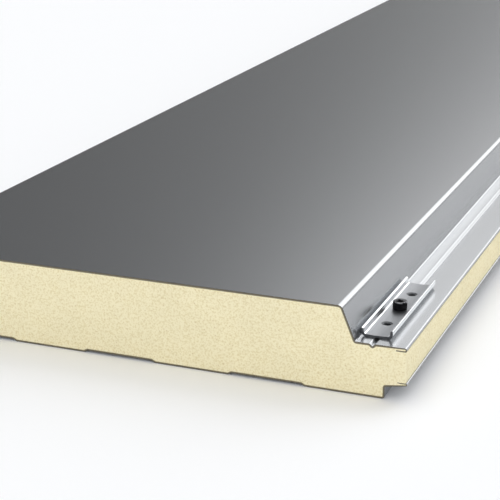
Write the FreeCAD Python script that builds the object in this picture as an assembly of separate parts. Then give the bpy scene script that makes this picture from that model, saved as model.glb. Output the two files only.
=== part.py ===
import FreeCAD, Part
import math
import os
from collections import namedtuple

# Insulated sandwich panel for facades, lying with its outer facing up.
#
# Two roll-formed steel facings are bonded to a rigid foam core. The right-hand edge is the male
# side: a pocket along the top holds the fixing, and a tongue stands out below it. The left-hand
# edge is the female side: a nose reaches over the next panel's pocket, a hook and a gasket close
# on its tongue, and a lip slips into the rebate under it. Both ends are plain cuts.
#
# Millimetres. X runs across the panel, Y along it and Z up through its thickness. The origin is
# the middle of the panel's whole box, on the face that it lies on.
#
# Across the panel, sections are drawn from a joint line: the sharp top edge of the male side.
# The female side is drawn from the joint line of its neighbour, one cover width to the left.

Vector = FreeCAD.Vector

# --- Panel -----------------------------------------------------------------------------------
THICKNESS = 100.0
COVER_WIDTH = 570.0  # from one joint line to the next in a laid wall
LENGTH = 3000.0
OUTER_SHEET = 0.8
INNER_SHEET = 0.6

# --- Male side, outer facing -----------------------------------------------------------------
FACE_EDGE_RADIUS = 6.5  # bend between the flat face and the pocket's wall
WALL_SLOPE = 0.4125  # the pocket's wall runs this far across for each millimetre down
POCKET_FLOOR = 61.2
BEND_RADIUS = 2.0  # inside of an ordinary bend, on its open side
BEAD_LINE = 35.2
BEAD_HALF_WIDTH = 3.1
BEAD_DEPTH = 3.0
BEAD_RADIUS = 0.9
UPPER_HEM_TIP = 73.1
UPPER_HEM_HEIGHT = 4.5
UPPER_HEM_RETURN = 11.8

# --- Male side, inner facing -----------------------------------------------------------------
REBATE_WALL = 50.0
REBATE_HEIGHT = 14.0
LOWER_EDGE_RADIUS = 3.0
TONGUE_SLOPE = 0.182  # the tongue's underside rises this far for each millimetre across
LOWER_HEM_TIP = 74.7
LOWER_HEM_TOP = 21.3
LOWER_HEM_RADIUS = 1.3
LOWER_HEM_RETURN = 11.0
FOAM_SIDE = 72.8  # bare foam between the two hems

# --- Female side -----------------------------------------------------------------------------
JOINT_GAP = 3.0  # between the edges of two laid panels
NOSE_RADIUS = 3.0
CEILING = 80.6  # roof of the recess that closes over the neighbour's fixing
CEILING_END = 55.0
HOOK_ROOF = 67.0
HOOK_ROOF_START = 69.6
HOOK_FACE = 83.7
HOOK_END = 57.8
LIP_FLANGE_END = 70.0
LIP_CLEARANCE = 2.9  # under the neighbour's tongue

# --- Ribs of the inner facing ----------------------------------------------------------------
RIB_COUNT = 3
RIB_PITCH = 180.5
FIRST_RIB = -86.0
RIB_DEPTH = 2.3
RIB_HALF_WIDTH = 41.0
RIB_SIDE_RUN = 4.2
RIB_RADIUS = 2.0

# --- Gasket ----------------------------------------------------------------------------------
GASKET_THICKNESS = 8.0
GASKET_TOP = 66.0
GASKET_EDGE_RADIUS = 1.5

# --- Fixing plate and screw, measured from the front end of the panel --------------------------
PLATE_LINE = 34.5  # the plate and the screw are centred on it
PLATE_START = 18.0
PLATE_LENGTH = 176.0
PLATE_WIDTH = 35.6
PLATE_HEIGHT = 9.8
PLATE_THICKNESS = 3.0
PLATE_BEND = 6.0
HOLE_RADIUS = 4.25
COUNTERSINK_RADIUS = 7.0
COUNTERSINK_DEPTH = 1.6
SPARE_HOLES = (57.0, 157.0)
SCREW_PLACE = 107.0
SCREW_RADIUS = 4.0
SCREW_TIP = 6.0  # height of the point above the underside of the panel
POINT_LENGTH = 6.0
HEAD_RADIUS = 8.2
HEAD_HEIGHT = 9.0
HEAD_CHAMFER = 0.9
SOCKET_ACROSS_FLATS = 8.0
SOCKET_DEPTH = 5.0

# --- Worked out from the above ---------------------------------------------------------------
RIGHT_END = LOWER_HEM_TIP
NOSE_TURN = math.pi / 2 + math.atan(WALL_SLOPE)
LEFT_END = JOINT_GAP + NOSE_RADIUS * (math.tan(NOSE_TURN / 2) - 1) - COVER_WIDTH
JOINT_X = -(LEFT_END + RIGHT_END) / 2  # the male joint line in the part's own frame
FRONT_Y = -LENGTH / 2
PLATE_TOP = POCKET_FLOOR + PLATE_THICKNESS
FIXING_X = JOINT_X + PLATE_LINE
FOAM_ON_RIGHT, FOAM_ON_LEFT = -1, 1

# A corner of a section: its sharp place, and the radius that rounds it.
Corner = namedtuple("Corner", "u z radius", defaults=(0.0,))


# --- Sections --------------------------------------------------------------------------------
def direction(start, end):
    """Unit vector from one corner to the next."""
    return Vector(end.u - start.u, 0, end.z - start.z).normalize()


def offset(path, distance, side):
    """Move a path of corners sideways, so that a sheet keeps its thickness round each bend."""
    moved = []
    for i, corner in enumerate(path):
        before = direction(path[i - 1], corner) if i else None
        after = direction(corner, path[i + 1]) if i + 1 < len(path) else None
        before, after = before or after, after or before
        normals = [Vector(-d.z, 0, d.x) * side for d in (before, after)]
        mitre = (normals[0] + normals[1]) * (distance / (1 + normals[0].dot(normals[1])))
        turn = (before.x * after.z - before.z * after.x) * side
        radius = corner.radius - math.copysign(distance, turn) if corner.radius else 0.0
        moved.append(Corner(corner.u + mitre.x, corner.z + mitre.z, radius))
    return moved


def rounded(before, corner, after):
    """The start, middle and end of the arc that rounds a corner."""
    sharp = Vector(JOINT_X + corner.u, FRONT_Y, corner.z)
    back, on = direction(corner, before), direction(corner, after)
    half = back.getAngle(on) / 2
    reach = corner.radius / math.tan(half)
    inward = (back + on).normalize()
    middle = sharp + inward * (corner.radius / math.sin(half) - corner.radius)
    return sharp + back * reach, middle, sharp + on * reach


def section_face(loop):
    """A flat face in the plane of the front end, bounded by a closed loop of corners."""
    count = len(loop)
    edges, ends = [], []
    for i, corner in enumerate(loop):
        if corner.radius:
            start, middle, end = rounded(loop[i - 1], corner, loop[(i + 1) % count])
            edges.append(Part.Arc(start, middle, end).toShape())
        else:
            start = end = Vector(JOINT_X + corner.u, FRONT_Y, corner.z)
        ends.append((start, end))
    for i, (_, end) in enumerate(ends):
        start = ends[(i + 1) % count][0]
        if end.distanceToPoint(start) > 1e-6:
            edges.append(Part.LineSegment(end, start).toShape())
    return Part.Face(Part.Wire(Part.__sortEdges__(edges)))


def full_length(loop):
    """Extrude a section over the whole length of the panel."""
    return section_face(loop).extrude(Vector(0, LENGTH, 0))


def sheet_loop(path, thickness, side):
    """The closed section of a sheet whose open face follows the path."""
    return list(path) + offset(path, thickness, side)[::-1]


def female(u, z, radius=0.0):
    """A corner of the female side, which is one cover width to the left."""
    return Corner(u - COVER_WIDTH, z, radius)


# --- Open faces of the two facings -------------------------------------------------------------
def outer_path():
    """From the end of the hook, over the nose and the flat face, to the end of the upper hem."""
    wall_foot = (THICKNESS - POCKET_FLOOR) * WALL_SLOPE
    nose_foot = JOINT_GAP + (THICKNESS - CEILING) * WALL_SLOPE
    hem_floor = POCKET_FLOOR - UPPER_HEM_HEIGHT
    return [
        female(HOOK_FACE, HOOK_END),
        female(HOOK_FACE, HOOK_ROOF, BEND_RADIUS),
        female(HOOK_ROOF_START, HOOK_ROOF, BEND_RADIUS),
        female(CEILING_END, CEILING, BEND_RADIUS),
        female(nose_foot, CEILING, BEND_RADIUS),
        female(JOINT_GAP, THICKNESS, NOSE_RADIUS),
        Corner(0.0, THICKNESS, FACE_EDGE_RADIUS),
        Corner(wall_foot, POCKET_FLOOR, BEND_RADIUS),
        Corner(BEAD_LINE - BEAD_HALF_WIDTH, POCKET_FLOOR, BEAD_RADIUS + OUTER_SHEET),
        Corner(BEAD_LINE, POCKET_FLOOR - BEAD_DEPTH, BEAD_RADIUS),
        Corner(BEAD_LINE + BEAD_HALF_WIDTH, POCKET_FLOOR, BEAD_RADIUS + OUTER_SHEET),
        Corner(UPPER_HEM_TIP, POCKET_FLOOR, BEND_RADIUS),
        Corner(UPPER_HEM_TIP, hem_floor, BEND_RADIUS),
        Corner(UPPER_HEM_TIP - UPPER_HEM_RETURN, hem_floor),
    ]


def tongue_underside(u):
    """Height of the tongue's sloping underside."""
    return REBATE_HEIGHT + (u - REBATE_WALL) * TONGUE_SLOPE


def lip_top(u):
    """Height of the female lip, which runs along under the neighbour's tongue."""
    return tongue_underside(u) - LIP_CLEARANCE


def inner_path():
    """From the end of the lip's flange, under the panel across its ribs, to the lower hem."""
    lip_edge = REBATE_WALL + JOINT_GAP
    path = [
        female(LIP_FLANGE_END, lip_top(LIP_FLANGE_END)),
        female(lip_edge, lip_top(lip_edge), BEND_RADIUS),
        female(lip_edge, 0.0, LOWER_EDGE_RADIUS),
    ]
    for rib in reversed(range(RIB_COUNT)):
        centre = FIRST_RIB - rib * RIB_PITCH
        foot = RIB_HALF_WIDTH + RIB_SIDE_RUN
        path += [
            Corner(centre - foot, 0.0, RIB_RADIUS),
            Corner(centre - RIB_HALF_WIDTH, RIB_DEPTH, RIB_RADIUS),
            Corner(centre + RIB_HALF_WIDTH, RIB_DEPTH, RIB_RADIUS),
            Corner(centre + foot, 0.0, RIB_RADIUS),
        ]
    path += [
        Corner(REBATE_WALL, 0.0, LOWER_EDGE_RADIUS),
        Corner(REBATE_WALL, REBATE_HEIGHT, LOWER_HEM_RADIUS),
        Corner(LOWER_HEM_TIP, tongue_underside(LOWER_HEM_TIP), LOWER_HEM_RADIUS),
        Corner(LOWER_HEM_TIP, LOWER_HEM_TOP, LOWER_HEM_RADIUS),
        Corner(LOWER_HEM_TIP - LOWER_HEM_RETURN, LOWER_HEM_TOP),
    ]
    return path


# --- Pieces ----------------------------------------------------------------------------------
def screw_shank():
    """Shank with its drill point, which is also the hole that it makes."""
    seat = Vector(FIXING_X, FRONT_Y + SCREW_PLACE, SCREW_TIP + POINT_LENGTH)
    shank = Part.makeCylinder(SCREW_RADIUS, PLATE_TOP - seat.z, seat)
    point = Part.makeCone(0.0, SCREW_RADIUS, POINT_LENGTH, seat - Vector(0, 0, POINT_LENGTH))
    return shank.fuse(point).removeSplitter()


def outer_facing():
    """Coated steel sheet of the weather side, drilled by the screw."""
    loop = sheet_loop(outer_path(), OUTER_SHEET, FOAM_ON_RIGHT)
    return full_length(loop).cut(screw_shank())


def inner_facing():
    """Ribbed steel sheet of the room side."""
    return full_length(sheet_loop(inner_path(), INNER_SHEET, FOAM_ON_LEFT))


def foam_core():
    """Rigid foam that fills everything between the facings, hems included."""
    outer, inner = outer_path(), inner_path()
    loop = offset(outer, OUTER_SHEET, FOAM_ON_RIGHT)
    loop += [
        outer[-1],
        Corner(FOAM_SIDE, outer[-1].z),
        Corner(FOAM_SIDE, inner[-1].z),
        inner[-1],
    ]
    loop += offset(inner, INNER_SHEET, FOAM_ON_LEFT)[::-1]
    loop += [
        inner[0],
        female(HOOK_FACE, lip_top(HOOK_FACE)),
        outer[0],
    ]
    return full_length(loop).cut(screw_shank())


def joint_gasket():
    """Strip of cellular rubber on the back wall of the female groove."""
    front = HOOK_FACE - GASKET_THICKNESS
    return full_length([
        female(front, lip_top(front)),
        female(front, GASKET_TOP, GASKET_EDGE_RADIUS),
        female(HOOK_FACE, GASKET_TOP, BEND_RADIUS),
        female(HOOK_FACE, lip_top(HOOK_FACE)),
    ])


def countersunk_hole(place):
    """Cutter for one hole of the plate, at a distance from the front end of the panel."""
    foot = Vector(FIXING_X, FRONT_Y + place, POCKET_FLOOR)
    sink = foot + Vector(0, 0, PLATE_THICKNESS - COUNTERSINK_DEPTH)
    drilled = Part.makeCylinder(HOLE_RADIUS, PLATE_THICKNESS, foot)
    sunk = Part.makeCone(HOLE_RADIUS, COUNTERSINK_RADIUS, COUNTERSINK_DEPTH, sink)
    return drilled.fuse(sunk)


def fixing_plate():
    """Load-spreading channel in the pocket, with two spare holes and one for the screw."""
    left, right = PLATE_LINE - PLATE_WIDTH / 2, PLATE_LINE + PLATE_WIDTH / 2
    top = POCKET_FLOOR + PLATE_HEIGHT
    path = [
        Corner(left, top),
        Corner(left, POCKET_FLOOR, PLATE_BEND),
        Corner(right, POCKET_FLOOR, PLATE_BEND),
        Corner(right, top),
    ]
    channel = section_face(sheet_loop(path, PLATE_THICKNESS, FOAM_ON_LEFT))
    plate = channel.extrude(Vector(0, PLATE_LENGTH, 0)).translated(Vector(0, PLATE_START, 0))
    for place in (*SPARE_HOLES, SCREW_PLACE):
        plate = plate.cut(countersunk_hole(place))
    return plate


def fixing_screw():
    """Socket head screw through the plate and the foam, short of the inner facing."""
    seat = Vector(FIXING_X, FRONT_Y + SCREW_PLACE, PLATE_TOP)
    head = Part.makeCylinder(HEAD_RADIUS, HEAD_HEIGHT, seat)
    top = seat + Vector(0, 0, HEAD_HEIGHT)
    rim = [e for e in head.Edges if e.BoundBox.ZMin > top.z - HEAD_CHAMFER]
    head = head.makeChamfer(HEAD_CHAMFER, rim)
    corner = SOCKET_ACROSS_FLATS / math.sqrt(3)
    hexagon = [
        top + Vector(corner * math.cos(math.radians(a)), corner * math.sin(math.radians(a)), 0)
        for a in range(0, 420, 60)
    ]
    socket = Part.Face(Part.makePolygon(hexagon)).extrude(Vector(0, 0, -SOCKET_DEPTH))
    return head.fuse(screw_shank()).cut(socket).removeSplitter()


NODES = {
    "outer_facing": outer_facing,
    "inner_facing": inner_facing,
    "foam_core": foam_core,
    "joint_gasket": joint_gasket,
    "fixing_plate": fixing_plate,
    "fixing_screw": fixing_screw,
}


def main():
    """Build each piece, say what it measures and write it."""
    os.makedirs("parts", exist_ok=True)
    for name, build in NODES.items():
        shape = build()
        solid = shape if shape.ShapeType == "Solid" else shape.Solids[0]
        box = solid.BoundBox
        print(f"{name}: {len(shape.Solids)} solid, valid {solid.isValid()}, {solid.Volume:.0f} mm3, "
              f"X {box.XMin:.2f} to {box.XMax:.2f}, Z {box.ZMin:.2f} to {box.ZMax:.2f}")
        solid.exportStep(f"parts/{name}.step")


main()
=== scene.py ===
"""Looks of an insulated facade panel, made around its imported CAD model.

The panel lies face up. Its long right-hand edge is the male side, with a fixing pocket and a
tongue, and its left-hand edge is the female side, with a nose, a groove and a gasket. Sizes are
millimetres and are turned to metres where a mesh is made. Across the panel a place is given by u,
its distance from the male joint line, which is the sharp top edge of the fixing pocket.
"""
import logging
import math
from dataclasses import dataclass, field
from enum import Enum
from typing import Any, Iterable, Sequence

import bmesh
import bpy
from mathutils import Matrix, Vector, noise


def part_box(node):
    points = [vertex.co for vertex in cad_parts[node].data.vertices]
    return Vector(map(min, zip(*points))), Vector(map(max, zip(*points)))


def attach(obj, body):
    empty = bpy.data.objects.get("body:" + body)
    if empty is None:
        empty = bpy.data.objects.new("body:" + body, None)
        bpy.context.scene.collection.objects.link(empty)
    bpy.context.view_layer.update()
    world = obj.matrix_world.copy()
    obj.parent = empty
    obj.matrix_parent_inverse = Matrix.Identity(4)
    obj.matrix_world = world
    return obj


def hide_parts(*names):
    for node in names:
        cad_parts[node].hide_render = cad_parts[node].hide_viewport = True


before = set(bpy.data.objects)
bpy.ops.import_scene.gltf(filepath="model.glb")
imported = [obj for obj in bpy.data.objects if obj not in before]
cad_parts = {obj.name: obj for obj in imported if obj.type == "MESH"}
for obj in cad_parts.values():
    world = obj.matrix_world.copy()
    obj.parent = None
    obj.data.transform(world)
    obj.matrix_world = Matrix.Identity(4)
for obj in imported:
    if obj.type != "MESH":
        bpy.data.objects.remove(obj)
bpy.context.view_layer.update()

log = logging.getLogger("panel")

MM = 0.001
WELD = 1e-7  # metres: vertices closer than this become one
BODY = "root"
Point = tuple[float, float]
Rgba = tuple[float, float, float, float]


class Side(Enum):
    """Which hand the foam is on, for someone who walks along a sheet's open face."""

    LEFT = 1
    RIGHT = -1


class Slot(Enum):
    """The record's material slots."""

    OUTER_FACING = "outer_facing"
    INNER_FACING = "inner_facing"
    FOAM = "foam"
    GASKET = "gasket"
    PLATE = "fixing_plate"
    SCREW = "fixing_screw"


# --- Colour and nodes ------------------------------------------------------------------------
def srgb(code: str) -> Rgba:
    """Turn an sRGB hex colour to linear light.

    Args:
        code: six hex digits after a hash sign.

    Returns:
        Linear red, green and blue, and an alpha of 1.
    """
    channels = [int(code[i:i + 2], 16) / 255 for i in (1, 3, 5)]
    linear = [c / 12.92 if c <= 0.04045 else ((c + 0.055) / 1.055) ** 2.4 for c in channels]
    return (*linear, 1.0)


def add_node(tree: bpy.types.NodeTree, kind: str, settings: dict[str | int, Any] | None = None,
             links: dict[str | int, bpy.types.NodeSocket] | None = None,
             feeds: dict[str | int, bpy.types.NodeSocket] | None = None) -> bpy.types.Node:
    """Add a node to a tree with its settings and links.

    Args:
        tree: the node tree of a material or world.
        kind: the node's type name.
        settings: input values by socket name or number, or the node's own properties by name,
            or a colour ramp's places and colours under "stops".
        links: what feeds each input, by socket name or number.
        feeds: the input that each output feeds, by socket name or number.

    Returns:
        The new node.
    """
    made = tree.nodes.new(kind)
    for key, value in (settings or {}).items():
        if key == "stops":
            elements = made.color_ramp.elements
            for element, (place, colour) in zip(elements, (value[0], value[-1])):
                element.position, element.color = place, colour
            for place, colour in value[1:-1]:
                elements.new(place).color = colour
        elif isinstance(key, int) or key in made.inputs:
            made.inputs[key].default_value = value
        else:
            setattr(made, key, value)
    for key, source in (links or {}).items():
        tree.links.new(source, made.inputs[key])
    for key, target in (feeds or {}).items():
        tree.links.new(made.outputs[key], target)
    return made


def grey(value: float) -> Rgba:
    """A linear grey."""
    return (value, value, value, 1.0)


# --- Finishes --------------------------------------------------------------------------------
@dataclass(frozen=True)
class Finish:
    """A real material and how its surface was made."""

    name: str
    colour: str
    roughness: float

    def material(self) -> bpy.types.Material:
        """Make the material, with the finish's own pattern on a Principled surface.

        Returns:
            The material.
        """
        made = bpy.data.materials.new(self.name)
        made.use_nodes = True
        tree = made.node_tree
        surface = tree.nodes["Principled BSDF"]
        surface.inputs["Base Color"].default_value = srgb(self.colour)
        surface.inputs["Roughness"].default_value = self.roughness
        place = tree.nodes.new("ShaderNodeTexCoord").outputs["Object"]
        self.pattern(tree, surface, place)
        return made

    def pattern(self, tree: bpy.types.NodeTree, surface: bpy.types.Node,
                place: bpy.types.NodeSocket) -> None:
        """Add what the surface's making leaves to see.

        Args:
            tree: the material's node tree.
            surface: its Principled node.
            place: the position in metres.
        """
        raise NotImplementedError

    def patches(self, tree: bpy.types.NodeTree, surface: bpy.types.Node,
                place: bpy.types.NodeSocket, size_mm: float, other: str,
                share: tuple[float, float] = (0.35, 0.7),
                detail: float = 3.0) -> bpy.types.NodeSocket:
        """Colour the surface in soft patches of another colour and of the finish's own.

        Args:
            tree: the material's node tree.
            surface: its Principled node.
            place: the position in metres.
            size_mm: how far apart the patches are.
            other: the colour that comes between the finish's own.
            share: the noise levels where the other colour ends and the finish's own is full.
            detail: how often the noise is repeated at a finer scale.

        Returns:
            The level of the noise.
        """
        level = add_node(tree, "ShaderNodeTexNoise",
                         {"Scale": 1 / (size_mm * MM), "Detail": detail},
                         {"Vector": place}).outputs["Fac"]
        add_node(tree, "ShaderNodeValToRGB",
                 {"stops": [(share[0], srgb(other)), (share[1], srgb(self.colour))]},
                 {"Fac": level}, {"Color": surface.inputs["Base Color"]})
        return level


@dataclass(frozen=True)
class MetallicCoilCoat(Finish):
    """Steel coil, zinc coated, then roller coated with a silver paint full of aluminium flake.

    Gives the eye a soft metal sheen with no mirror image, an even grey with a faint sparkle, and
    very long, low waves along the rolling direction.
    """

    flake_mm: float = 0.9  # real flake is about 0.03 mm: drawn coarser, so that it shows
    flake_relief_mm: float = 0.02
    flake_tint: str = "#A4A6A9"
    gloss_swing: float = 0.03
    wave_mm: float = 160.0
    wave_relief_mm: float = 0.25
    wave_stretch: float = 0.12  # how fast the waves change along the panel, against across it

    def pattern(self, tree: bpy.types.NodeTree, surface: bpy.types.Node,
                place: bpy.types.NodeSocket) -> None:
        """Flake in the colour and gloss, and long rolling waves in the bump.

        Args:
            tree: the material's node tree.
            surface: its Principled node.
            place: the position in metres.
        """
        surface.inputs["Metallic"].default_value = 0.92
        flake = self.patches(tree, surface, place, self.flake_mm, self.flake_tint,
                             share=(0.35, 0.62), detail=2.0)
        add_node(tree, "ShaderNodeMapRange",
                 {"To Min": self.roughness - self.gloss_swing,
                  "To Max": self.roughness + self.gloss_swing},
                 {"Value": flake}, {"Result": surface.inputs["Roughness"]})
        along = add_node(tree, "ShaderNodeMapping", {"Scale": (1.0, self.wave_stretch, 1.0)},
                         {"Vector": place})
        wave = add_node(tree, "ShaderNodeTexNoise",
                        {"Scale": 1 / (self.wave_mm * MM), "Detail": 1.0},
                        {"Vector": along.outputs["Vector"]})
        waves = add_node(tree, "ShaderNodeBump",
                         {"Strength": 0.35, "Distance": self.wave_relief_mm * MM},
                         {"Height": wave.outputs["Fac"]})
        add_node(tree, "ShaderNodeBump",
                 {"Strength": 0.12, "Distance": self.flake_relief_mm * MM},
                 {"Height": flake, "Normal": waves.outputs["Normal"]},
                 {"Normal": surface.inputs["Normal"]})


@dataclass(frozen=True)
class SawnSheetEdge(Finish):
    """Edge of coated steel, sawn with the foam: a dull dark line with smeared coating in it."""

    burr_mm: float = 1.5  # real burrs are about 0.2 mm: drawn coarser, so that they show
    bare: str = "#4A463C"

    def pattern(self, tree: bpy.types.NodeTree, surface: bpy.types.Node,
                place: bpy.types.NodeSocket) -> None:
        """Patches of bare and of smeared edge.

        Args:
            tree: the material's node tree.
            surface: its Principled node.
            place: the position in metres.
        """
        surface.inputs["Metallic"].default_value = 0.3
        self.patches(tree, surface, place, self.burr_mm, self.bare)


@dataclass(frozen=True)
class SawnRigidFoam(Finish):
    """Polyisocyanurate foam, foamed between the sheets and sawn across.

    Gives the eye a dry, chalky cream with fine mottling where cells are cut open, and a few larger
    voids; both are painted darker in their hollows, as painted shade.
    """

    # painted shade in the hollows of the cut cells, where their bump sinks
    shade: str = "#EADDB0"
    # painted shade in the voids' hollows
    void_shade: str = "#D8C596"
    cell_mm: float = 2.2  # real cells are about 0.3 mm: drawn coarser, so that they show
    cell_relief_mm: float = 0.3
    void_mm: float = 7.0  # from one void to the next, each a millimetre or two across
    void_relief_mm: float = 0.5
    cloud_mm: float = 45.0

    def pattern(self, tree: bpy.types.NodeTree, surface: bpy.types.Node,
                place: bpy.types.NodeSocket) -> None:
        """Cells and sparse voids in the bump and as painted shade in the colour, and broad clouds.

        Args:
            tree: the material's node tree.
            surface: its Principled node.
            place: the position in metres.
        """
        surface.inputs["Specular IOR Level"].default_value = 0.25
        cells = add_node(tree, "ShaderNodeTexNoise",
                         {"Scale": 1 / (self.cell_mm * MM), "Detail": 2.0, "Roughness": 0.6},
                         {"Vector": place})
        # painted shade: darker where the cells' bump is low, in their hollows
        mottle = add_node(tree, "ShaderNodeValToRGB",
                          {"stops": [(0.34, srgb(self.shade)), (0.56, srgb(self.colour))]},
                          {"Fac": cells.outputs["Fac"]})
        cloud = add_node(tree, "ShaderNodeTexNoise",
                         {"Scale": 1 / (self.cloud_mm * MM), "Detail": 2.0}, {"Vector": place})
        tone = add_node(tree, "ShaderNodeValToRGB", {"stops": [(0.3, grey(0.96)), (0.7, grey(1.0))]},
                        {"Fac": cloud.outputs["Fac"]})
        clouded = add_node(tree, "ShaderNodeMix",
                           {"data_type": "RGBA", "blend_type": "MULTIPLY", "Factor": 1.0},
                           {6: mottle.outputs["Color"], 7: tone.outputs["Color"]})
        void = add_node(tree, "ShaderNodeTexVoronoi",
                        {"Scale": 1 / (self.void_mm * MM), "Randomness": 1.0}, {"Vector": place})
        # painted shade: darker towards each void's middle, where the bump sinks
        hole = add_node(tree, "ShaderNodeValToRGB",
                        {"stops": [(0.08, grey(0.6)), (0.17, grey(0.0))]},
                        {"Fac": void.outputs["Distance"]})
        add_node(tree, "ShaderNodeMix", {"data_type": "RGBA", 7: srgb(self.void_shade)},
                 {"Factor": hole.outputs["Color"], 6: clouded.outputs[2]},
                 {2: surface.inputs["Base Color"]})
        pits = add_node(tree, "ShaderNodeBump",
                        {"Strength": 0.35, "Distance": self.cell_relief_mm * MM},
                        {"Height": cells.outputs["Fac"]})
        add_node(tree, "ShaderNodeBump",
                 {"Strength": 0.5, "Distance": self.void_relief_mm * MM, "invert": True},
                 {"Height": hole.outputs["Color"], "Normal": pits.outputs["Normal"]},
                 {"Normal": surface.inputs["Normal"]})


@dataclass(frozen=True)
class DenseFoamSkin(Finish):
    """Foam that cured against the primer of a sheet: denser, darker and browner than the rest."""

    patch_mm: float = 3.0
    dark: str = "#6A6351"

    def pattern(self, tree: bpy.types.NodeTree, surface: bpy.types.Node,
                place: bpy.types.NodeSocket) -> None:
        """Patches where the skin is thicker.

        Args:
            tree: the material's node tree.
            surface: its Principled node.
            place: the position in metres.
        """
        self.patches(tree, surface, place, self.patch_mm, self.dark, share=(0.3, 0.75))


@dataclass(frozen=True)
class SpongeRubber(Finish):
    """Cellular rubber strip, cut from sheet: a matt black with small open cells."""

    cell_mm: float = 1.2  # real cells are about 0.4 mm: drawn coarser, so that they show
    cell_relief_mm: float = 0.3
    # painted shade in the hollows of the open cells
    cell_shade: str = "#0D0D0E"

    def pattern(self, tree: bpy.types.NodeTree, surface: bpy.types.Node,
                place: bpy.types.NodeSocket) -> None:
        """Cut cells in the bump, with painted shade in the colour that darkens each cell's hollow.

        Args:
            tree: the material's node tree.
            surface: its Principled node.
            place: the position in metres.
        """
        cells = add_node(tree, "ShaderNodeTexVoronoi", {"Scale": 1 / (self.cell_mm * MM)},
                         {"Vector": place})
        # painted shade: darker at each cell's middle, where the bump sinks
        add_node(tree, "ShaderNodeValToRGB",
                 {"stops": [(0.1, srgb(self.cell_shade)), (0.5, srgb(self.colour))]},
                 {"Fac": cells.outputs["Distance"]}, {"Color": surface.inputs["Base Color"]})
        add_node(tree, "ShaderNodeBump",
                 {"Strength": 0.5, "Distance": self.cell_relief_mm * MM},
                 {"Height": cells.outputs["Distance"]}, {"Normal": surface.inputs["Normal"]})


@dataclass(frozen=True)
class BrightZincPlate(Finish):
    """Steel strip, zinc plated, then rolled to a channel.

    Gives the eye a cool silver, finely streaked and rougher on the web and smoother on the bends,
    with painted shade darkening the flat web and a painted highlight brightening bends and flanges.
    """

    web_top_mm: float
    line_mm: float = 0.9  # real rolling lines are about 0.1 mm: drawn coarser, so that they show
    line_relief_mm: float = 0.02
    line_stretch: float = 0.03  # how fast the lines change along the plate, against across it
    # painted shade: the darker colour of the flat web
    web_painted_shade: str = "#8E9093"
    streak: str = "#7C7E81"
    dulling: float = 0.1  # how much rougher the flat web is
    flange_start_mm: float = 0.1  # above the web's top, where the painted highlight starts
    flange_full_mm: float = 1.0
    flat: float = 0.99  # upward share of the normal where the bends' painted highlight starts
    tilted: float = 0.92

    def pattern(self, tree: bpy.types.NodeTree, surface: bpy.types.Node,
                place: bpy.types.NodeSocket) -> None:
        """Rolling lines on the web, in the colour and bump, smoother bends, and painted shade on the
        flat web against a painted highlight on the bends and flanges.

        Args:
            tree: the material's node tree.
            surface: its Principled node.
            place: the position in metres.
        """
        surface.inputs["Metallic"].default_value = 1.0
        along = add_node(tree, "ShaderNodeMapping", {"Scale": (1.0, self.line_stretch, 1.0)},
                         {"Vector": place})
        lines = add_node(tree, "ShaderNodeTexNoise",
                         {"Scale": 1 / (self.line_mm * MM), "Detail": 3.0},
                         {"Vector": along.outputs["Vector"]})
        streaked = add_node(tree, "ShaderNodeValToRGB",
                            {"stops": [(0.3, srgb(self.streak)), (0.7, srgb(self.web_painted_shade))]},
                            {"Fac": lines.outputs["Fac"]})
        # Painted highlight by height and tilt: the flanges and bends get the bright colour, the flat
        # web the painted shade.
        height = add_node(tree, "ShaderNodeSeparateXYZ", links={"Vector": place})
        raised = add_node(tree, "ShaderNodeMapRange",
                          {"From Min": (self.web_top_mm + self.flange_start_mm) * MM,
                           "From Max": (self.web_top_mm + self.flange_full_mm) * MM},
                          {"Value": height.outputs["Z"]})
        geometry = add_node(tree, "ShaderNodeNewGeometry")
        facing = add_node(tree, "ShaderNodeSeparateXYZ",
                          links={"Vector": geometry.outputs["Normal"]})
        bent = add_node(tree, "ShaderNodeMapRange",
                        {"From Min": self.flat, "From Max": self.tilted},
                        {"Value": facing.outputs["Z"]})
        bend_painted_highlight = add_node(tree, "ShaderNodeMath", {"operation": "MAXIMUM"},
                             {0: raised.outputs["Result"], 1: bent.outputs["Result"]})
        # mix the web's painted shade with the bends' painted highlight
        add_node(tree, "ShaderNodeMix", {"data_type": "RGBA", 7: srgb(self.colour)},
                 {"Factor": bend_painted_highlight.outputs["Value"], 6: streaked.outputs["Color"]},
                 {2: surface.inputs["Base Color"]})
        add_node(tree, "ShaderNodeMapRange",
                 {"To Min": self.roughness + self.dulling, "To Max": self.roughness},
                 {"Value": bend_painted_highlight.outputs["Value"]}, {"Result": surface.inputs["Roughness"]})
        add_node(tree, "ShaderNodeBump",
                 {"Strength": 0.1, "Distance": self.line_relief_mm * MM},
                 {"Height": lines.outputs["Fac"]}, {"Normal": surface.inputs["Normal"]})


@dataclass(frozen=True)
class ShearedSteelEdge(Finish):
    """Cut edge of steel strip: dark grey patches, burnished or torn, with no zinc on them."""

    tear_mm: float = 1.4  # the real torn grain is about 0.2 mm: drawn coarser, so that it shows
    tear_relief_mm: float = 0.08
    torn: str = "#44464A"

    def pattern(self, tree: bpy.types.NodeTree, surface: bpy.types.Node,
                place: bpy.types.NodeSocket) -> None:
        """Torn and burnished patches, with their grain in the bump.

        Args:
            tree: the material's node tree.
            surface: its Principled node.
            place: the position in metres.
        """
        surface.inputs["Metallic"].default_value = 0.8
        tear = self.patches(tree, surface, place, self.tear_mm, self.torn, detail=4.0)
        add_node(tree, "ShaderNodeBump",
                 {"Strength": 0.4, "Distance": self.tear_relief_mm * MM},
                 {"Height": tear}, {"Normal": surface.inputs["Normal"]})


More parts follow.
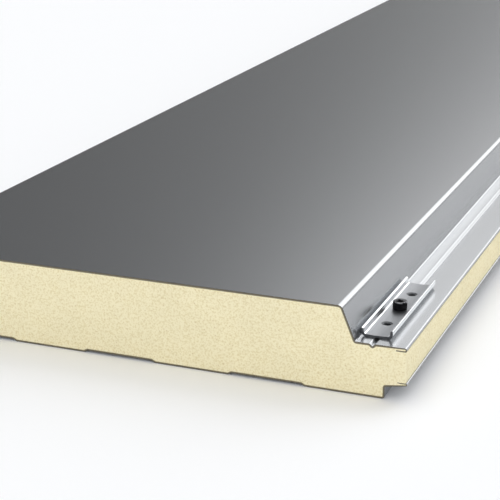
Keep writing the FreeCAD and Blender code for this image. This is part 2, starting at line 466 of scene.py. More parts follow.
@dataclass(frozen=True)
class BlackOxide(Finish):
    """Alloy steel screw, forged, blackened and oiled: near black with a satin metal gloss."""

    film_mm: float = 0.8  # the forged grain under the oil is about 0.1 mm: drawn coarser
    dry: str = "#141517"
    gloss_gain: float = 0.06  # how much smoother the metal is where the oil is thick
    gloss_loss: float = 0.1

    def pattern(self, tree: bpy.types.NodeTree, surface: bpy.types.Node,
                place: bpy.types.NodeSocket) -> None:
        """Uneven oil film in the colour and the gloss.

        Args:
            tree: the material's node tree.
            surface: its Principled node.
            place: the position in metres.
        """
        surface.inputs["Metallic"].default_value = 0.8
        film = self.patches(tree, surface, place, self.film_mm, self.dry)
        add_node(tree, "ShaderNodeMapRange",
                 {"To Min": self.roughness - self.gloss_gain,
                  "To Max": self.roughness + self.gloss_loss},
                 {"Value": film}, {"Result": surface.inputs["Roughness"]})


@dataclass(frozen=True)
class BurnishedSteel(Finish):
    """Blackened steel rubbed bare by tools: a thin bright line round the screw's rim."""

    wear_mm: float = 2.5
    kept: str = "#2A2B2D"

    def pattern(self, tree: bpy.types.NodeTree, surface: bpy.types.Node,
                place: bpy.types.NodeSocket) -> None:
        """Bare patches between what is left of the black.

        Args:
            tree: the material's node tree.
            surface: its Principled node.
            place: the position in metres.
        """
        surface.inputs["Metallic"].default_value = 1.0
        self.patches(tree, surface, place, self.wear_mm, self.kept, share=(0.42, 0.58))


@dataclass(frozen=True)
class MattPaintedFloor(Finish):
    """Studio floor, painted matt white: an even pale ground that shows no gloss."""

    def pattern(self, tree: bpy.types.NodeTree, surface: bpy.types.Node,
                place: bpy.types.NodeSocket) -> None:
        """Leave the paint plain, with no gloss."""
        surface.inputs["Specular IOR Level"].default_value = 0.0


# --- Sections --------------------------------------------------------------------------------
@dataclass(frozen=True)
class Corner:
    """A corner of a section: its sharp place in millimetres, and the radius that rounds it."""

    u: float
    z: float
    radius: float = 0.0

    def toward(self, other: "Corner") -> Vector:
        """Unit vector to another corner."""
        return Vector((other.u - self.u, other.z - self.z)).normalized()


@dataclass(frozen=True)
class SectionPath:
    """An open run of corners."""

    corners: tuple[Corner, ...]
    least_radius: float = 0.05

    def offset(self, distance: float, side: Side) -> "SectionPath":
        """Move the path sideways, so that a sheet keeps its thickness round each bend.

        Args:
            distance: how far, in millimetres.
            side: to which hand.

        Returns:
            The moved path.
        """
        moved = []
        for i, corner in enumerate(self.corners):
            steps = []
            if i:
                steps.append(self.corners[i - 1].toward(corner))
            if i + 1 < len(self.corners):
                steps.append(corner.toward(self.corners[i + 1]))
            before, after = steps[0], steps[-1]
            normals = [Vector((-d.y, d.x)) * side.value for d in (before, after)]
            mitre = (normals[0] + normals[1]) * (distance / (1 + normals[0].dot(normals[1])))
            turn = before.cross(after) * side.value
            radius = 0.0
            if corner.radius:
                radius = max(self.least_radius, corner.radius - math.copysign(distance, turn))
            moved.append(Corner(corner.u + mitre.x, corner.z + mitre.y, radius))
        return SectionPath(tuple(moved))

    def turn(self, i: int) -> float:
        """How much the path turns at a corner.

        Args:
            i: the corner's number, not that of an end.

        Returns:
            The angle in radians.
        """
        before = self.corners[i - 1].toward(self.corners[i])
        after = self.corners[i].toward(self.corners[i + 1])
        return before.angle(after)

    def reach(self, i: int) -> float:
        """How far from its sharp corner a bend starts.

        Args:
            i: the corner's number.

        Returns:
            The distance in millimetres, 0 at an end of the path.
        """
        if i in (0, len(self.corners) - 1):
            return 0.0
        return self.corners[i].radius * math.tan(self.turn(i) / 2)

    def flat(self, i: int) -> float:
        """Length of the flat from a corner's bend to the next one's."""
        here, there = self.corners[i], self.corners[i + 1]
        return math.dist((here.u, here.z), (there.u, there.z)) - self.reach(i) - self.reach(i + 1)

    def points(self, step_degrees: float = 6.0, margin: float = 0.5,
               slack: float = 0.01) -> list[Point]:
        """Follow the path as points, with its bends as arcs.

        Args:
            step_degrees: the most that one step of a bend turns.
            margin: how far from a bend's end a flat gets one more point, in millimetres, so
                that the bend's shading stays off the flat.
            slack: the share of a step by which a bend may be over a whole number of steps.

        Returns:
            Points from end to end, as many for a path as for its offset.
        """
        found: list[Point] = []
        for i, corner in enumerate(self.corners):
            here = Vector((corner.u, corner.z))
            if i in (0, len(self.corners) - 1):
                found.append(tuple(here))
                continue
            back = corner.toward(self.corners[i - 1])
            on = corner.toward(self.corners[i + 1])
            turn, reach = self.turn(i), self.reach(i)
            centre = here + (back + on).normalized() * (corner.radius / math.cos(turn / 2))
            start, end = here + back * reach - centre, here + on * reach - centre
            steps = max(2, math.ceil(math.degrees(turn) / step_degrees - slack))
            found.append(tuple(centre + start + back * min(margin, self.flat(i - 1) / 3)))
            for k in range(steps + 1):
                share = k / steps
                blend = start * math.sin((1 - share) * turn) + end * math.sin(share * turn)
                found.append(tuple(centre + blend / math.sin(turn)))
            found.append(tuple(centre + end + on * min(margin, self.flat(i) / 3)))
        return found


# --- Meshes ----------------------------------------------------------------------------------
@dataclass(frozen=True)
class Datum:
    """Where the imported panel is: its joint line, its ends and its underside, in metres."""

    joint_x: float
    front_y: float
    back_y: float
    base_z: float

    @classmethod
    def of_frame(cls, hem_tip_mm: float) -> "Datum":
        """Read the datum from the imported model.

        Args:
            hem_tip_mm: how far the inner facing's hem stands out from the joint line.

        Returns:
            The datum.
        """
        low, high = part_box("inner_facing")
        return cls(high.x - hem_tip_mm * MM, low.y, high.y, low.z)

    def ends(self) -> tuple[float, float]:
        """The places of the front and the back end along the panel, in metres."""
        return self.front_y, self.back_y

    def at(self, point: Point, y: float) -> Vector:
        """A section point at a place along the panel, in metres."""
        return Vector((self.joint_x + point[0] * MM, y, self.base_z + point[1] * MM))


def band(first: int, second: int, size: int) -> list[tuple[int, ...]]:
    """Faces from one closed ring of vertices to another.

    Args:
        first: the number of one ring's first vertex.
        second: the number of the other ring's first vertex.
        size: how many vertices a ring has.

    Returns:
        A face for each step round the ring.
    """
    return [(first + i, first + (i + 1) % size, second + (i + 1) % size, second + i)
            for i in range(size)]


@dataclass
class Build:
    """Vertices, faces and material numbers of a mesh under way, in metres."""

    vertices: list[Vector] = field(default_factory=list)
    faces: list[tuple[int, ...]] = field(default_factory=list)
    numbers: list[int] = field(default_factory=list)

    @classmethod
    def extrude(cls, outline: Sequence[Point], datum: Datum,
                ends: tuple[float, float]) -> "Build":
        """Run a closed outline along the panel.

        Args:
            outline: the section's points.
            datum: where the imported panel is.
            ends: the two ends' places along the panel, in metres.

        Returns:
            The mesh under way, with material number 0 and open ends.
        """
        build = cls([datum.at(point, y) for y in ends for point in outline])
        build.join(band(0, len(outline), len(outline)), 0)
        return build

    def join(self, faces: Iterable[Sequence[int]], number: int) -> None:
        """Add faces between vertices that are already there.

        Args:
            faces: the new faces.
            number: their material number.
        """
        for face in faces:
            self.faces.append(tuple(face))
            self.numbers.append(number)

    def piece(self, name: str, materials: Sequence[bpy.types.Material],
              sharp_degrees: float = 40.0) -> bpy.types.Object:
        """Make the object, with smooth shading between its sharp edges.

        Args:
            name: the object's name.
            materials: one for each material number.
            sharp_degrees: an edge that turns more than this is sharp.

        Returns:
            The object, in the scene.
        """
        mesh = bpy.data.meshes.new(name)
        mesh.from_pydata([tuple(v) for v in self.vertices], [], self.faces)
        for material in materials:
            mesh.materials.append(material)
        mesh.polygons.foreach_set("material_index", self.numbers)
        shape = bmesh.new()
        shape.from_mesh(mesh)
        bmesh.ops.remove_doubles(shape, verts=shape.verts, dist=WELD)
        bmesh.ops.recalc_face_normals(shape, faces=shape.faces)
        shape.to_mesh(mesh)
        shape.free()
        mesh.shade_smooth()
        mesh.set_sharp_from_angle(angle=math.radians(sharp_degrees))
        made = bpy.data.objects.new(name, mesh)
        bpy.context.scene.collection.objects.link(made)
        return made


def settle(piece: bpy.types.Object, node: str) -> bpy.types.Object:
    """Let a piece stand for its CAD node: put it on the body and hide the node.

    Args:
        piece: the dressed piece.
        node: the CAD node.

    Returns:
        The piece.
    """
    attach(piece, BODY)
    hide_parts(node)
    log.info("%s: %d faces, stands for %s", piece.name, len(piece.data.polygons), node)
    return piece


# --- Facings ---------------------------------------------------------------------------------
@dataclass(frozen=True)
class Laying:
    """Sizes that both edges of a panel share, so that laid panels fit each other."""

    thickness: float = 100.0
    cover_width: float = 570.0
    joint_gap: float = 3.0
    wall_slope: float = 0.4125  # outward run for a millimetre of drop
    bend_radius: float = 2.0
    rebate_wall: float = 50.0
    rebate_height: float = 14.0
    tongue_slope: float = 0.182  # rise for a millimetre of outward run
    lip_clearance: float = 2.9

    def female(self, u: float, z: float, radius: float = 0.0) -> Corner:
        """A corner of the female side, one cover width to the left."""
        return Corner(u - self.cover_width, z, radius)

    def tongue_underside(self, u: float) -> float:
        """Height of the tongue's sloping underside."""
        return self.rebate_height + (u - self.rebate_wall) * self.tongue_slope

    def lip_top(self, u: float) -> float:
        """Height of the female lip."""
        return self.tongue_underside(u) - self.lip_clearance


@dataclass(frozen=True)
class BentSheet:
    """A roll-formed sheet that follows an open path, with foam on one side.

    Beyond hem_from, a place across the panel, a point belongs to the male hem.
    """

    laying: Laying
    datum: Datum
    sheet: float
    foam_side: Side
    hem_from: float

    def path(self) -> SectionPath:
        """The path of the sheet's open face."""
        raise NotImplementedError

    def open_points(self) -> list[Point]:
        """The open face, as points."""
        return self.path().points()

    def bonded_points(self) -> list[Point]:
        """The face that the foam is bonded to, as points."""
        return self.path().offset(self.sheet, self.foam_side).points()

    def within_points(self, depth: float, hem_share: float) -> list[Point]:
        """A line in the foam along the sheet, as many points as the bonded face has.

        Args:
            depth: how deep it lies, in millimetres.
            hem_share: the share of that depth in the hem, where there is little room.

        Returns:
            The points.
        """
        bonded = self.bonded_points()
        deep = self.path().offset(self.sheet + depth, self.foam_side).points()
        share = [hem_share if u > self.hem_from else 1.0 for u, _ in bonded]
        return [(b[0] + (d[0] - b[0]) * k, b[1] + (d[1] - b[1]) * k)
                for b, d, k in zip(bonded, deep, share)]

    def mesh(self) -> Build:
        """The sheet over the whole length, with its sawn ends in a second material.

        Returns:
            The mesh under way.
        """
        opened = self.open_points()
        outline = opened + self.bonded_points()[::-1]
        build = Build.extrude(outline, self.datum, self.datum.ends())
        size = len(outline)
        for first in (0, size):
            build.join([(first + i, first + i + 1, first + size - 2 - i, first + size - 1 - i)
                        for i in range(len(opened) - 1)], 1)
        return build


@dataclass(frozen=True)
class OuterFacing(BentSheet):
    """Weather-side sheet: hook, ceiling, nose, flat face, pocket wall and floor, bead and hem."""

    sheet: float = 0.8
    foam_side: Side = Side.RIGHT
    hem_from: float = 60.0
    face_edge_radius: float = 6.5
    pocket_floor: float = 61.2
    bead_line: float = 35.2
    bead_half_width: float = 3.1
    bead_depth: float = 3.0
    bead_radius: float = 0.9
    hem_tip: float = 73.1
    hem_height: float = 4.5
    hem_return: float = 11.8
    nose_radius: float = 3.0
    ceiling: float = 80.6
    ceiling_end: float = 55.0
    hook_roof: float = 67.0
    hook_roof_start: float = 69.6
    hook_face: float = 83.7
    hook_end: float = 57.8

    def path(self) -> SectionPath:
        """From the end of the hook, over the nose and the flat face, to the end of the hem.

        Returns:
            The path of the weather side.
        """
        lay, bend = self.laying, self.laying.bend_radius
        wall_foot = (lay.thickness - self.pocket_floor) * lay.wall_slope
        nose_foot = lay.joint_gap + (lay.thickness - self.ceiling) * lay.wall_slope
        hem_floor = self.pocket_floor - self.hem_height
        bead = self.bead_radius
        return SectionPath((
            lay.female(self.hook_face, self.hook_end),
            lay.female(self.hook_face, self.hook_roof, bend),
            lay.female(self.hook_roof_start, self.hook_roof, bend),
            lay.female(self.ceiling_end, self.ceiling, bend),
            lay.female(nose_foot, self.ceiling, bend),
            lay.female(lay.joint_gap, lay.thickness, self.nose_radius),
            Corner(0.0, lay.thickness, self.face_edge_radius),
            Corner(wall_foot, self.pocket_floor, bend),
            Corner(self.bead_line - self.bead_half_width, self.pocket_floor, bead + self.sheet),
            Corner(self.bead_line, self.pocket_floor - self.bead_depth, bead),
            Corner(self.bead_line + self.bead_half_width, self.pocket_floor, bead + self.sheet),
            Corner(self.hem_tip, self.pocket_floor, bend),
            Corner(self.hem_tip, hem_floor, bend),
            Corner(self.hem_tip - self.hem_return, hem_floor),
        ))

    def make(self, coat: bpy.types.Material, edge: bpy.types.Material) -> bpy.types.Object:
        """Build and dress the sheet.

        Args:
            coat: finish of both faces.
            edge: finish of the sawn ends.

        Returns:
            The piece.
        """
        return settle(self.mesh().piece("outer_sheet", [coat, edge]),
                      "outer_facing")


@dataclass(frozen=True)
class InnerFacing(BentSheet):
    """Room-side sheet: lip flange, shallow ribs, rebate wall, tongue underside and hem."""

    sheet: float = 0.6
    foam_side: Side = Side.LEFT
    hem_from: float = 60.0
    edge_radius: float = 3.0
    hem_tip: float = 74.7
    hem_top: float = 21.3
    hem_radius: float = 1.3
    hem_return: float = 11.0
    lip_flange_end: float = 70.0
    rib_count: int = 3
    rib_pitch: float = 180.5
    first_rib: float = -86.0
    rib_depth: float = 2.3
    rib_half_width: float = 41.0
    rib_side_run: float = 4.2
    rib_radius: float = 2.0

    def path(self) -> SectionPath:
        """From the end of the lip's flange, under the panel across its ribs, to the hem.

        Returns:
            The path of the room side.
        """
        lay = self.laying
        lip_edge = lay.rebate_wall + lay.joint_gap
        corners = [
            lay.female(self.lip_flange_end, lay.lip_top(self.lip_flange_end)),
            lay.female(lip_edge, lay.lip_top(lip_edge), lay.bend_radius),
            lay.female(lip_edge, 0.0, self.edge_radius),
        ]
        for rib in reversed(range(self.rib_count)):
            centre = self.first_rib - rib * self.rib_pitch
            foot = self.rib_half_width + self.rib_side_run
            corners += [
                Corner(centre - foot, 0.0, self.rib_radius),
                Corner(centre - self.rib_half_width, self.rib_depth, self.rib_radius),
                Corner(centre + self.rib_half_width, self.rib_depth, self.rib_radius),
                Corner(centre + foot, 0.0, self.rib_radius),
            ]
        corners += [
            Corner(lay.rebate_wall, 0.0, self.edge_radius),
            Corner(lay.rebate_wall, lay.rebate_height, self.hem_radius),
            Corner(self.hem_tip, lay.tongue_underside(self.hem_tip), self.hem_radius),
            Corner(self.hem_tip, self.hem_top, self.hem_radius),
            Corner(self.hem_tip - self.hem_return, self.hem_top),
        ]
        return SectionPath(tuple(corners))

    def make(self, coat: bpy.types.Material, edge: bpy.types.Material) -> bpy.types.Object:
        """Build and dress the sheet.

        Args:
            coat: finish of both faces.
            edge: finish of the sawn ends.

        Returns:
            The piece.
        """
        return settle(self.mesh().piece("inner_sheet", [coat, edge]),
                      "inner_facing")


# --- Foam and gasket -------------------------------------------------------------------------
@dataclass(frozen=True)
class FoamCore:
    """Rigid foam between the facings, sawn across at both ends, with a dense skin on the steel."""

    outer: OuterFacing
    inner: InnerFacing
    bare_side: float = 72.8
    skin: float = 1.5  # a real skin is about 0.5 mm: drawn wider, so that it shows
    hem_skin_share: float = 0.4
    grid: float = 2.5
    pit_depth: float = 0.25
    pit_size: float = 2.2  # as coarse as the cells of the finish

    def section(self, y: float) -> bmesh.types.BMesh:
        """The foam's section: its core as one face, and its skins as strips along the steel.

        Args:
            y: where the section is, in metres.

        Returns:
            The section's mesh, with the skins in the second material.
        """
        datum, lay = self.outer.datum, self.outer.laying
        mesh = bmesh.new()

        def run(points: Iterable[Point]) -> list[bmesh.types.BMVert]:
            """Add points to the mesh."""
            return [mesh.verts.new(datum.at(p, y)) for p in points]

        bonded, within = [], []
        for sheet in (self.outer, self.inner):
            bonded.append(run(sheet.bonded_points()))
            within.append(run(sheet.within_points(self.skin, self.hem_skin_share)))
            for i in range(len(bonded[-1]) - 1):
                strip = mesh.faces.new((bonded[-1][i], bonded[-1][i + 1],
                                        within[-1][i + 1], within[-1][i]))
                strip.material_index = 1
        above, below = self.outer.open_points(), self.inner.open_points()
        lip_end = lay.female(self.outer.hook_face, lay.lip_top(self.outer.hook_face))
        male = run([above[-1], (self.bare_side, above[-1][1]),
                    (self.bare_side, below[-1][1]), below[-1]])
        female = run([below[0], (lip_end.u, lip_end.z), above[0]])
        core = mesh.faces.new([*within[0], bonded[0][-1], *male, bonded[1][-1],
                               *within[1][::-1], bonded[1][0], *female, bonded[0][0]])
        core.normal_update()
        bmesh.ops.triangulate(mesh, faces=[core])
        return mesh

    def cut_to_grid(self, mesh: bmesh.types.BMesh) -> None:
        """Cut a section's faces to a fine grid.

        Args:
            mesh: the section's mesh.
        """
        for normal in (Vector((1, 0, 0)), Vector((0, 0, 1))):
            places = [v.co.dot(normal) for v in mesh.verts]
            step = self.grid * MM
            for k in range(1, math.ceil((max(places) - min(places)) / step)):
                bmesh.ops.bisect_plane(mesh, geom=[*mesh.verts, *mesh.edges, *mesh.faces],
                                       plane_co=normal * (min(places) + k * step),
                                       plane_no=normal)
        mesh.verts.index_update()

    def pitted(self, vertex: bmesh.types.BMVert, y: float, inward: float) -> Vector:
        """Where a vertex of the grid lies once its cell is sawn open.

        Args:
            vertex: the vertex.
            y: the end's place along the panel, in metres.
            inward: the direction from the end into the foam, 1 or -1.

        Returns:
            The place, which stays on the end's plane at the rim.
        """
        place = Vector((vertex.co.x, y, vertex.co.z))
        if not vertex.is_boundary:
            depth = max(0.0, noise.noise(place / (self.pit_size * MM)))
            place.y += inward * depth * self.pit_depth * MM
        return place

    def make(self, foam: bpy.types.Material, skin: bpy.types.Material) -> bpy.types.Object:
        """Build and dress the foam.

        Args:
            foam: finish of the sawn foam.
            skin: finish of its dense skin.

        Returns:
            The piece.
        """
        datum = self.outer.datum
        end = self.section(datum.front_y)
        self.cut_to_grid(end)
        build = Build()
        for y, inward in zip(datum.ends(), (1, -1)):
            first = len(build.vertices)
            build.vertices.extend(self.pitted(v, y, inward) for v in end.verts)
            for face in end.faces:
                build.join([[first + v.index for v in face.verts]], face.material_index)
        size = len(end.verts)
        rim = [[v.index for v in edge.verts] for edge in end.edges if edge.is_boundary]
        build.join([(a, b, size + b, size + a) for a, b in rim], 0)
        end.free()
        return settle(build.piece("foam_body", [foam, skin]), "foam_core")


@dataclass(frozen=True)
class JointGasket:
    """Strip of sponge rubber on the back wall of the female groove."""

    outer: OuterFacing
    thickness: float = 8.0
    top: float = 66.0
    edge_radius: float = 1.5

    def make(self, rubber: bpy.types.Material) -> bpy.types.Object:
        """Build and dress the strip.

        Args:
            rubber: its finish.

        Returns:
            The piece.
        """
        lay, back = self.outer.laying, self.outer.hook_face
        front = back - self.thickness
        outline = SectionPath((
            lay.female(back, lay.lip_top(back)),
            lay.female(front, lay.lip_top(front), self.edge_radius / 2),
            lay.female(front, self.top, self.edge_radius),
            lay.female(back, self.top, lay.bend_radius),
            lay.female(back, lay.lip_top(back)),
        )).points()[:-1]
        datum, size = self.outer.datum, len(outline)
        build = Build.extrude(outline, datum, datum.ends())
        build.join([range(size), range(size, 2 * size)], 0)
        return settle(build.piece("gasket_strip", [rubber]), "joint_gasket")


# --- Fixing ----------------------------------------------------------------------------------
@dataclass(frozen=True)
class Ring:
    """One ring of a turned shape.

    flute is how far every second point is set in, and number is the material number of the band
    from this ring to the next.
    """

    radius: float
    height: float
    flute: float = 0.0
    number: int = 0


def revolve(rings: Sequence[Ring], centre: Vector, steps: int) -> Build:
    """Turn rings about a vertical axis.

    Args:
        rings: the rings in millimetres, from one end to the other.
        centre: a point of the axis at height 0, in metres.
        steps: how many points a ring has.

    Returns:
        The mesh under way, with a closed face at each end.
    """
    build = Build()
    for ring in rings:
        for i in range(steps):
            angle, radius = 2 * math.pi * i / steps, ring.radius - (ring.flute if i % 2 else 0.0)
            spot = Vector((radius * math.cos(angle), radius * math.sin(angle), ring.height))
            build.vertices.append(centre + spot * MM)
    for k, ring in enumerate(rings[:-1]):
        build.join(band(k * steps, (k + 1) * steps, steps), ring.number)
    last = (len(rings) - 1) * steps
    build.join([range(steps), range(last, last + steps)], 0)
    return build


def carve(body: bpy.types.Object, cutters: Sequence[bpy.types.Object],
          sharp_degrees: float = 20.0) -> None:
    """Cut solids out of a piece and delete them.

    Args:
        body: what is cut.
        cutters: what is taken away, with the materials that the cuts show.
        sharp_degrees: an edge of the cut piece that turns more than this is sharp.
    """
    for cutter in cutters:
        cut = body.modifiers.new("cut", "BOOLEAN")
        cut.operation, cut.solver, cut.object = "DIFFERENCE", "EXACT", cutter
    graph = bpy.context.evaluated_depsgraph_get()
    mesh = bpy.data.meshes.new_from_object(body.evaluated_get(graph))
    body.modifiers.clear()
    body.data = mesh
    for cutter in cutters:
        bpy.data.objects.remove(cutter)
    mesh.shade_smooth()
    mesh.set_sharp_from_angle(angle=math.radians(sharp_degrees))


@dataclass(frozen=True)
class FixingPlate:
    """Load-spreading channel with countersunk holes, lying in the pocket."""

    outer: OuterFacing
    line: float = 34.5
    start: float = 18.0
    length: float = 176.0
    width: float = 35.6
    height: float = 9.8
    gauge: float = 3.0
    bend: float = 6.0
    inner_ease: float = 2.3
    outer_ease: float = 0.5
    dish: float = 0.6
    dish_radius: float = 100.0
    hole_radius: float = 4.25
    sink_radius: float = 7.0
    sink_depth: float = 1.6
    rim_width: float = 0.4
    rim_depth: float = 0.3
    overcut: float = 1.0
    hole_sides: int = 64
    holes: tuple[float, ...] = (57.0, 107.0, 157.0)

    @property
    def web_top(self) -> float:
        """Height of the web's upper face, in millimetres."""
        return self.outer.pocket_floor + self.gauge

    def section(self) -> list[Point]:
        """The channel's section, with the tops of its flanges rounded.

        Returns:
            Points of the closed outline.
        """
        left, right = self.line - self.width / 2, self.line + self.width / 2
        floor, middle = self.outer.pocket_floor, self.line
        top, gauge, bend = floor + self.height, self.gauge, self.bend
        return SectionPath((
            Corner(middle, floor),
            Corner(right, floor, bend),
            Corner(right, top, self.outer_ease),
            Corner(right - gauge, top, self.inner_ease),
            Corner(right - gauge, floor + gauge, bend - gauge),
            Corner(middle, floor + gauge - self.dish, self.dish_radius),
            Corner(left + gauge, floor + gauge, bend - gauge),
            Corner(left + gauge, top, self.inner_ease),
            Corner(left, top, self.outer_ease),
            Corner(left, floor, bend),
            Corner(middle, floor),
        )).points()[:-1]

    def cutter(self, place: float, materials: Sequence[bpy.types.Material]) -> bpy.types.Object:
        """The solid that one countersunk hole takes out.

        Args:
            place: distance from the front end of the panel.
            materials: the plate's materials.

        Returns:
            The cutter.
        """
        datum = self.outer.datum
        floor, top = self.outer.pocket_floor, self.web_top
        centre = datum.at((self.line, 0.0), datum.front_y + place * MM)
        rings = [
            Ring(self.hole_radius, floor - self.overcut, number=1),
            Ring(self.hole_radius, top - self.sink_depth, number=1),
            Ring(self.sink_radius - self.rim_width, top - self.rim_depth),
            Ring(self.sink_radius, top),
            Ring(self.sink_radius, top + self.overcut),
        ]
        return revolve(rings, centre, self.hole_sides).piece("cutter", materials)

    def make(self, zinc: bpy.types.Material, sheared: bpy.types.Material) -> bpy.types.Object:
        """Build and dress the plate.

        Args:
            zinc: finish of its faces.
            sheared: finish of its ends and the walls of its holes.

        Returns:
            The piece.
        """
        datum, outline, materials = self.outer.datum, self.section(), [zinc, sheared]
        size = len(outline)
        front = datum.front_y + self.start * MM
        build = Build.extrude(outline, datum, (front, front + self.length * MM))
        build.join([range(size), range(size, 2 * size)], 1)
        plate = build.piece("channel_plate", materials)
        carve(plate, [self.cutter(place, materials) for place in self.holes])
        return settle(plate, "fixing_plate")


@dataclass(frozen=True)
class FixingScrew:
    """Socket head screw with a knurled head and a rim that tools have burnished."""

    outer: OuterFacing
    plate: FixingPlate
    place: float = 107.0
    shank_radius: float = 4.0
    tip: float = 6.0
    tip_radius: float = 0.2
    point: float = 6.0
    head_radius: float = 8.2
    head_height: float = 9.0
    sides: int = 96
    sharp_degrees: float = 50.0
    foot_ease: float = 0.4
    rim: float = 1.0
    rim_steps: int = 6
    knurl: float = 0.22
    knurl_start: float = 1.2  # above the plate
    knurl_end: float = 1.3  # below the rim
    knurl_fade: float = 0.2
    socket_across_flats: float = 8.0
    socket_depth: float = 5.0
    mouth_depth: float = 0.9
    mouth_flare: float = 1.1
    mouth_rise: float = 0.2
    overcut: float = 1.0

    def head(self, seat: float) -> list[Ring]:
        """Rings of the head: an eased foot, knurled side and rounded rim.

        Args:
            seat: height of the plate's upper face.

        Returns:
            The rings, upwards.
        """
        top, radius, rim = seat + self.head_height, self.head_radius, self.rim
        foot, ease = seat - self.plate.dish, self.foot_ease
        low, high = seat + self.knurl_start, top - rim - self.knurl_end
        rings = [Ring(radius - ease, foot), Ring(radius, foot + ease), Ring(radius, low)]
        for height in (low + self.knurl_fade, high - self.knurl_fade):
            rings.append(Ring(radius, height, flute=self.knurl))
        rings.append(Ring(radius, high))
        for k in range(self.rim_steps + 1):
            angle = math.pi / 2 * k / self.rim_steps
            rings.append(Ring(radius - rim * (1 - math.cos(angle)),
                              top - rim * (1 - math.sin(angle)), number=1))
        return rings

    def socket(self, centre: Vector, top: float,
               materials: Sequence[bpy.types.Material]) -> bpy.types.Object:
        """The hexagonal cutter of the drive, with an eased mouth.

        Args:
            centre: a point of the screw's axis at height 0, in metres.
            top: height of the head's top, in millimetres.
            materials: the screw's materials.

        Returns:
            The cutter.
        """
        corner = self.socket_across_flats / math.sqrt(3)
        mouth = corner + self.mouth_flare
        rings = [Ring(corner, top - self.socket_depth),
                 Ring(corner, top - self.mouth_depth, number=1),
                 Ring(mouth, top + self.mouth_rise), Ring(mouth, top + self.overcut)]
        return revolve(rings, centre, steps=6).piece("cutter", materials)

    def make(self, oxide: bpy.types.Material, worn: bpy.types.Material) -> bpy.types.Object:
        """Build and dress the screw.

        Args:
            oxide: finish of the screw.
            worn: finish of the rim and of the socket's mouth.

        Returns:
            The piece.
        """
        datum, materials = self.outer.datum, [oxide, worn]
        centre = datum.at((self.plate.line, 0.0), datum.front_y + self.place * MM)
        seat = self.plate.web_top
        rings = [Ring(self.tip_radius, self.tip), Ring(self.shank_radius, self.tip + self.point),
                 Ring(self.shank_radius, seat - self.plate.dish), *self.head(seat)]
        screw = revolve(rings, centre, self.sides).piece("cap_screw", materials,
                                                         self.sharp_degrees)
        carve(screw, [self.socket(centre, seat + self.head_height, materials)])
        return settle(screw, "fixing_screw")


# --- Studio ----------------------------------------------------------------------------------
@dataclass(frozen=True)
class Glow:
    """A share of the room's light, even all round one direction and changing away from it.

    Its levels are pairs of an angle off that direction, in degrees, and the light's strength.
    """

    azimuth: float
    elevation: float
    levels: tuple[tuple[float, float], ...]

    def socket(self, tree: bpy.types.NodeTree,
               towards: bpy.types.NodeSocket) -> bpy.types.NodeSocket:
        """Look the light up by the angle off the glow's direction.

        Args:
            tree: the world's node tree.
            towards: the unit direction into the room.

        Returns:
            The colour socket.
        """
        azimuth, elevation = math.radians(self.azimuth), math.radians(self.elevation)
        middle = (math.sin(azimuth) * math.cos(elevation),
                  math.cos(azimuth) * math.cos(elevation), math.sin(elevation))
        dot = add_node(tree, "ShaderNodeVectorMath", {"operation": "DOT_PRODUCT", 1: middle},
                       {0: towards})
        angle = add_node(tree, "ShaderNodeMath", {"operation": "ARCCOSINE"},
                         {0: dot.outputs["Value"]})
        share = add_node(tree, "ShaderNodeMath", {"operation": "DIVIDE", 1: math.pi},
                         {0: angle.outputs["Value"]})
        stops = [(degrees / 180, grey(level)) for degrees, level in self.levels]
        return add_node(tree, "ShaderNodeValToRGB", {"stops": stops},
                        {"Fac": share.outputs["Value"]}).outputs["Color"]


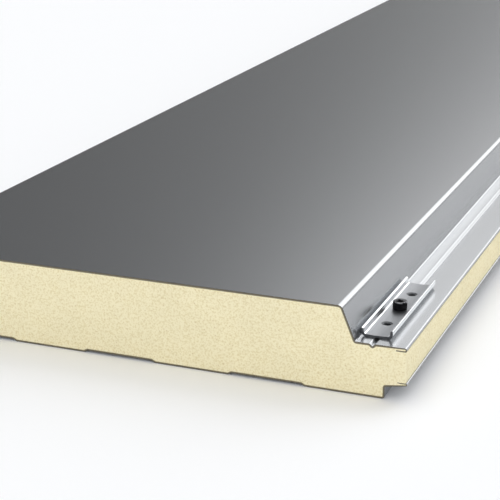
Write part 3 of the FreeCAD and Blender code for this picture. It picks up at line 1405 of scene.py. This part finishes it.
@dataclass(frozen=True)
class Studio:
    """Floor, room, lamps and camera."""

    floor_reach: float = 80.0
    floor_gap: float = 0.0004
    room: Glow = Glow(-50.0, 5.0, ((0, 0.1), (12, 0.11), (20, 0.12), (26, 0.13), (32, 0.09),
                                   (38, 0.04), (44, 0.19), (52, 0.4), (65, 0.6), (180, 0.7)))
    softbox: Glow = Glow(10.0, 38.0, ((0, 2.0), (21, 2.15), (24, 2.05), (27, 1.2), (30, 0.2),
                                      (33, 0.04), (36, 0.03), (40, 0.0)))
    key_strength: float = 0.4
    key_spread: float = 40.0
    key_from: tuple[float, float, float] = (-0.6, 0.35, 1.2)
    fill_strength: float = 0.8
    fill_spread: float = 100.0
    fill_from: tuple[float, float, float] = (-0.1, -1.0, 0.25)
    camera_place: tuple[float, float, float] = (0.6878, -2.873, 0.6408)
    camera_yaw: float = 21.72
    camera_pitch: float = -18.39
    camera_roll: float = 0.11
    lens: float = 104.14

    def floor(self) -> None:
        """Lay the floor under the panel."""
        reach = self.floor_reach
        corners = ((-reach, -reach), (reach, -reach), (reach, reach), (-reach, reach))
        build = Build([Vector((x, y, -self.floor_gap)) for x, y in corners])
        build.join([(0, 1, 2, 3)], 0)
        paint = MattPaintedFloor("matt_white_studio_paint", "#FAFBFD", 1.0)
        build.piece("studio_floor", [paint.material()])

    def sky(self) -> None:
        """A pale room with one dark side and a softbox, which the metal shows as a gradient."""
        world = bpy.data.worlds.new("studio_room")
        bpy.context.scene.world = world
        world.use_nodes = True
        tree = world.node_tree
        place = tree.nodes.new("ShaderNodeTexCoord").outputs["Generated"]
        unit = add_node(tree, "ShaderNodeVectorMath", {"operation": "NORMALIZE"}, {0: place})
        towards = unit.outputs["Vector"]
        light = add_node(tree, "ShaderNodeVectorMath", {"operation": "ADD"},
                         {0: self.room.socket(tree, towards), 1: self.softbox.socket(tree, towards)})
        tree.links.new(light.outputs["Vector"], tree.nodes["Background"].inputs["Color"])

    def lamp(self, name: str, strength: float, spread: float,
             source: tuple[float, float, float]) -> None:
        """Add a broad soft lamp.

        Args:
            name: the lamp's name.
            strength: its strength.
            spread: how wide it looks from the panel, in degrees.
            source: the direction that it shines from.
        """
        light = bpy.data.lights.new(name, "SUN")
        light.energy, light.angle = strength, math.radians(spread)
        holder = bpy.data.objects.new(name, light)
        holder.rotation_mode = "QUATERNION"
        holder.rotation_quaternion = Vector(source).to_track_quat("Z", "Y")
        bpy.context.scene.collection.objects.link(holder)

    def camera(self) -> None:
        """Place the camera over the male corner of the front end."""
        data = bpy.data.cameras.new("camera")
        data.lens, data.sensor_width = self.lens, 36.0
        data.clip_start, data.clip_end = 0.05, 500.0
        holder = bpy.data.objects.new("camera", data)
        turn = (Matrix.Rotation(math.radians(self.camera_yaw), 4, "Z")
                @ Matrix.Rotation(math.radians(self.camera_pitch), 4, "X")
                @ Matrix.Rotation(math.radians(self.camera_roll), 4, "Y")
                @ Matrix.Rotation(math.radians(90), 4, "X"))
        holder.matrix_world = Matrix.Translation(self.camera_place) @ turn
        bpy.context.scene.collection.objects.link(holder)
        bpy.context.scene.camera = holder

    def make(self) -> None:
        """Build the whole studio."""
        self.floor()
        self.sky()
        self.lamp("key_softbox", self.key_strength, self.key_spread, self.key_from)
        self.lamp("front_fill", self.fill_strength, self.fill_spread, self.fill_from)
        self.camera()
        log.info("studio: floor, room, lamps and camera")


def main() -> None:
    """Build and dress every piece in order, then the studio."""
    logging.basicConfig(level=logging.INFO, format="%(name)s: %(message)s")
    laying = Laying()
    datum = Datum.of_frame(InnerFacing.hem_tip)
    outer = OuterFacing(laying, datum)
    inner = InnerFacing(laying, datum)
    plate = FixingPlate(outer)
    coat = MetallicCoilCoat("silver_metallic_coil_coating", "#AFB1B3", 0.25).material()
    edge = SawnSheetEdge("sawn_steel_edge", "#696455", 0.6).material()
    foam = SawnRigidFoam("sawn_polyisocyanurate_foam", "#FAF1CE", 0.95).material()
    skin = DenseFoamSkin("dense_brown_foam_skin", "#857C66", 0.8).material()
    zinc = BrightZincPlate("bright_zinc_plated_steel", "#DADCDE", 0.26, plate.web_top).material()
    sheared = ShearedSteelEdge("sheared_bare_steel", "#707274", 0.5).material()
    oxide = BlackOxide("oiled_black_oxide_steel", "#1C1D1F", 0.3).material()
    worn = BurnishedSteel("burnished_black_steel", "#8A8C8F", 0.16).material()
    outer.make(coat, edge)
    inner.make(coat, edge)
    FoamCore(outer, inner).make(foam, skin)
    JointGasket(outer).make(SpongeRubber("black_sponge_rubber", "#1B1B1C", 0.85).material())
    plate.make(zinc, sheared)
    FixingScrew(outer, plate).make(oxide, worn)
    Studio().make()
    bpy.context.scene.view_settings.view_transform = "Standard"


if __name__ == "__main__":
    main()
